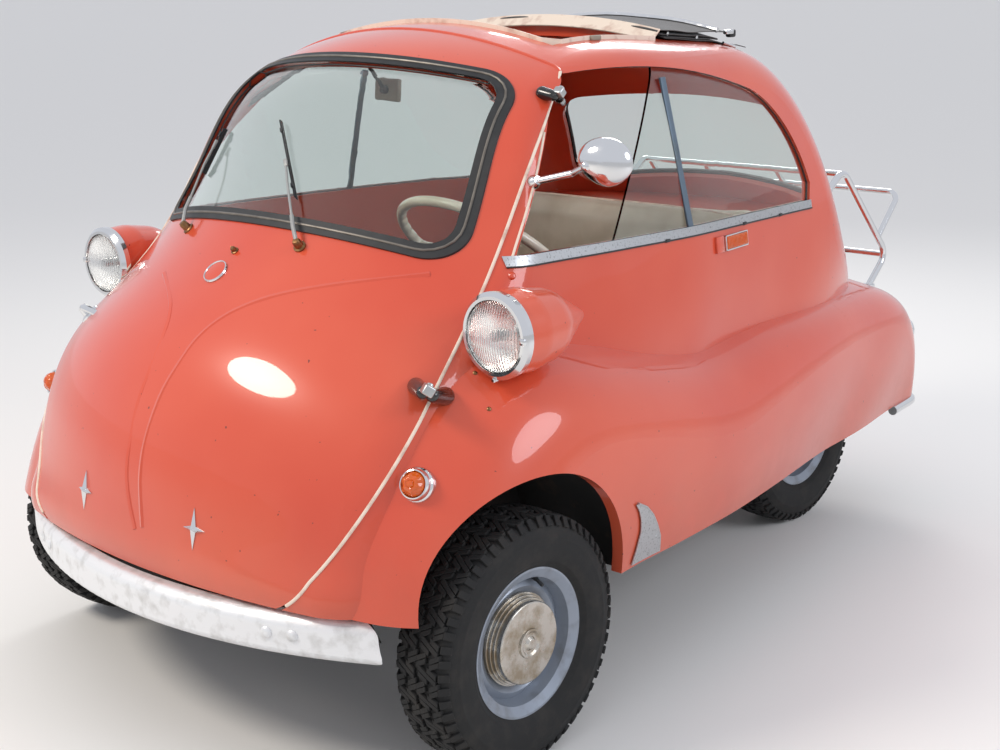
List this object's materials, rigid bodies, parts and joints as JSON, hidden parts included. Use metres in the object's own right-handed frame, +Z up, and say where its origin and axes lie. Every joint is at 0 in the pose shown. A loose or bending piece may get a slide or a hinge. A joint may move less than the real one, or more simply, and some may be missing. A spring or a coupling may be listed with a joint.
{
  "type": "bubble car",
  "caption": "Egg-shaped microcar whose whole front opens as a door, with wide front wheels, a narrow rear pair, a sunroof and a tail rack.",
  "frame": {"origin": "on the ground, amid the length and width of the parked car", "axes": "+X to the car's left, -Y to its front, +Z up"},
  "size_m": [1.383, 2.3931, 1.3459],
  "materials": {
    "coral_paint": "gloss",
    "frame_paint": "satin",
    "silver_paint": "satin",
    "rim_paint": "satin",
    "chrome": "polished",
    "bare_aluminium": "brushed",
    "screen_glass": "clear",
    "side_window_glass": "clear",
    "headlamp_glass": "fluted",
    "amber_plastic": "gloss",
    "red_plastic": "gloss",
    "black_rubber": "matt",
    "tyre_rubber": "matt",
    "hinge_black": "satin",
    "axle_steel": "rough",
    "engine_alloy": "cast",
    "cream_vinyl": "soft",
    "roof_fabric": "woven",
    "wheel_white": "gloss"
  },
  "bodies": {
    "root": {"roof_panel": "coral_paint", "side_left": "coral_paint", "side_right": "coral_paint", "rear_panel": "coral_paint", "tail_panel": "coral_paint", "wheel_houses": "frame_paint", "floor_pan": "frame_paint", "chassis_frame": "frame_paint", "front_axle_beam": "frame_paint", "rear_axle_housing": "axle_steel", "engine_block": "engine_alloy", "front_bumper": "silver_paint", "bumper_irons": "frame_paint", "luggage_rack": "chrome", "headlamp_pods": "coral_paint", "lamp_rings": "chrome", "amber_lamps": "amber_plastic", "tail_lamps": "red_plastic", "rear_bumpers": "chrome", "stone_guards": "bare_aluminium", "exhaust": "axle_steel", "leaf_springs": "axle_steel", "headlamp_lenses": "headlamp_glass", "mirror": "chrome", "side_glass": "side_window_glass", "rear_glass": "screen_glass", "folded_roof": "roof_fabric", "hinge_body_leaves": "hinge_black", "parcel_shelf": "coral_paint", "bench_seat": "cream_vinyl", "seat_base": "frame_paint"},
    "door": {"door_shell": "coral_paint", "windscreen_glass": "screen_glass", "windscreen_seal": "black_rubber", "hinge_door_leaves": "hinge_black", "dash_panel": "coral_paint", "steering_column": "frame_paint"},
    "steering_wheel": {"steering_wheel": "wheel_white"},
    "knuckle_left": {"knuckle_left": "axle_steel"},
    "knuckle_right": {"knuckle_right": "axle_steel"},
    "wheel_front_left": {"tyre_front_left": "tyre_rubber", "rim_front_left": "rim_paint", "hub_cap_front_left": "chrome"},
    "wheel_front_right": {"tyre_front_right": "tyre_rubber", "rim_front_right": "rim_paint", "hub_cap_front_right": "chrome"},
    "rear_wheels": {"rear_tyres": "tyre_rubber", "rear_rims": "rim_paint", "rear_axle_shaft": "axle_steel"}
  },
  "joints": [
    {"name": "door_hinge", "type": "hinge", "parent": "root", "child": "door", "pos_m": [0.572, -0.9426, 0.741], "axis": [-0.1527, 0.7047, 0.6929], "range_deg": [0, 75]},
    {"name": "steer_left", "type": "hinge", "parent": "root", "child": "knuckle_left", "pos_m": [0.545, -0.7696, 0.245], "axis": [0, 0, 1], "range_deg": [-24, 24]},
    {"name": "steer_right", "type": "hinge", "parent": "root", "child": "knuckle_right", "pos_m": [-0.545, -0.7696, 0.245], "axis": [0, 0, 1], "range_deg": [-24, 24]},
    {"name": "steering_wheel_turn", "type": "hinge", "parent": "door", "child": "steering_wheel", "pos_m": [0.19, -0.3746, 0.868], "axis": [0, 0.6459, 0.7634], "range_deg": [-288, 288]},
    {"name": "spin_front_left", "type": "hinge", "parent": "knuckle_left", "child": "wheel_front_left", "pos_m": [0.6, -0.7696, 0.245], "axis": [1, 0, 0], "continuous": true},
    {"name": "spin_front_right", "type": "hinge", "parent": "knuckle_right", "child": "wheel_front_right", "pos_m": [-0.6, -0.7696, 0.245], "axis": [1, 0, 0], "continuous": true},
    {"name": "spin_rear", "type": "hinge", "parent": "root", "child": "rear_wheels", "pos_m": [0, 0.7304, 0.245], "axis": [1, 0, 0], "continuous": true}
  ],
  "couplings": [
    {"joint": "steer_right", "follows": "steer_left", "ratio": 1},
    {"joint": "steering_wheel_turn", "follows": "steer_left", "ratio": 12}
  ]
}
